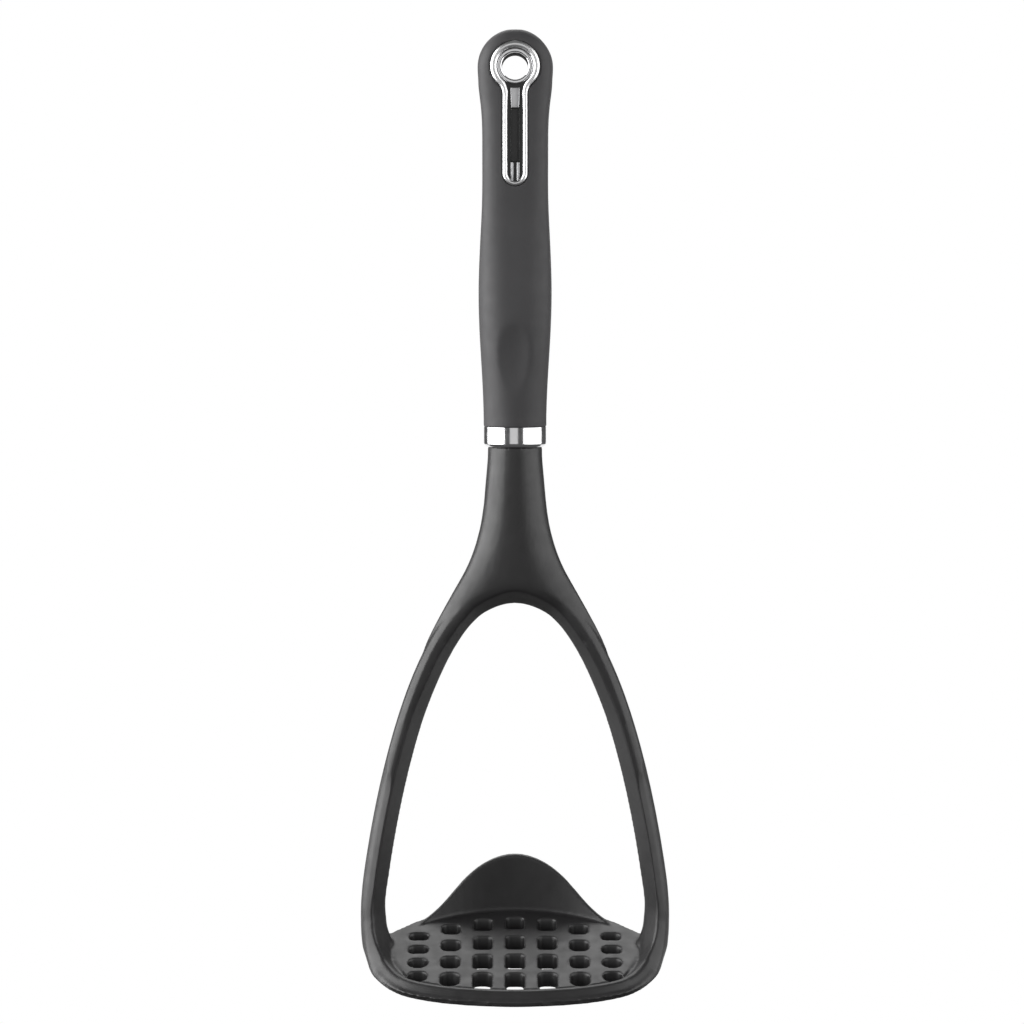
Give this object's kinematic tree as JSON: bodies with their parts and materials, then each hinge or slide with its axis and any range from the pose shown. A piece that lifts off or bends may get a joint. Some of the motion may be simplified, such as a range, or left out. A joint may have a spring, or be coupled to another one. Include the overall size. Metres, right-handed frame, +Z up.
{
  "type": "potato masher",
  "caption": "Kitchen potato masher with a soft handle, a keyhole-shaped hanging trim, a bright ferrule and a looped head with a slotted, sloping plate.",
  "frame": {"origin": "centre of the hanging hole, midway between the handle's front and back", "axes": "+Z up the handle, the front with the keyhole trim faces -Y, X = 0 is the plane of symmetry"},
  "size_m": [0.1036, 0.0565, 0.3206],
  "materials": {
    "head_nylon": "fine satin moulding texture",
    "ferrule_chrome": "polished, softly brushed",
    "core_plastic": "plain moulded, hidden",
    "pin_steel": "plain, hidden",
    "grip_rubber": "soft-touch matte charcoal",
    "tray_black": "semi-gloss black",
    "bezel_chrome": "polished",
    "bar_metal": "fine satin",
    "eyelet_chrome": "polished",
    "collar_chrome": "polished"
  },
  "bodies": {
    "root": {"mashing_head": "head_nylon", "ferrule": "ferrule_chrome", "handle_core": "core_plastic", "tang_pin": "pin_steel", "grip_sleeve": "grip_rubber", "keyhole_tray": "tray_black", "keyhole_bezel": "bezel_chrome", "keyhole_bar": "bar_metal", "hanging_eyelet": "eyelet_chrome", "rear_collar": "collar_chrome"}
  },
  "joints": []
}
